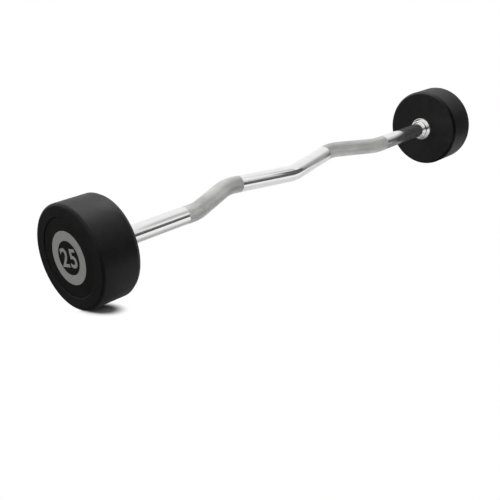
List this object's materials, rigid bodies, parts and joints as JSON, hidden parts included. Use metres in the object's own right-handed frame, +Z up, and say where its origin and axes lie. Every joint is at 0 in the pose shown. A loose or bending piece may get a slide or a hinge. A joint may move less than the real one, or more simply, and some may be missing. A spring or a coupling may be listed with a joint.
{
  "type": "ez curl bar",
  "caption": "Fixed-weight curl barbell: a zigzag chromed steel bar with knurled grips between round, rubber-covered steel heads, for arm curls and triceps work.",
  "frame": {"origin": "On the floor, under the middle of the bar, with both heads standing on the floor.", "axes": "+X along the bar, from the left head to the right one. +Z up. The bends lie towards +Y, lifted 24 degrees above the floor as pictured."},
  "size_m": [1.098, 0.175, 0.175],
  "materials": {
    "chrome": "bright chrome plate, matte over the knurled grips",
    "urethane": "moulded black urethane, satin, with a fine grain",
    "ring_grey": "mid grey inlaid urethane, matte",
    "core_steel": "rough machined",
    "fastener_steel": "zinc plated, dull"
  },
  "bodies": {
    "root": {"curl_bar": "chrome", "left_collar": "chrome", "left_flange": "chrome", "left_set_screw": "fastener_steel", "left_head_core": "core_steel", "left_head_cover": "urethane", "left_drive_key": "fastener_steel", "left_end_washer": "fastener_steel", "left_lock_washer": "fastener_steel", "left_end_bolt": "fastener_steel", "left_end_cap": "urethane", "left_cap_ring": "ring_grey", "right_collar": "chrome", "right_flange": "chrome", "right_set_screw": "fastener_steel", "right_head_core": "core_steel", "right_head_cover": "urethane", "right_drive_key": "fastener_steel", "right_end_washer": "fastener_steel", "right_lock_washer": "fastener_steel", "right_end_bolt": "fastener_steel", "right_end_cap": "urethane", "right_cap_ring": "ring_grey"}
  },
  "joints": []
}
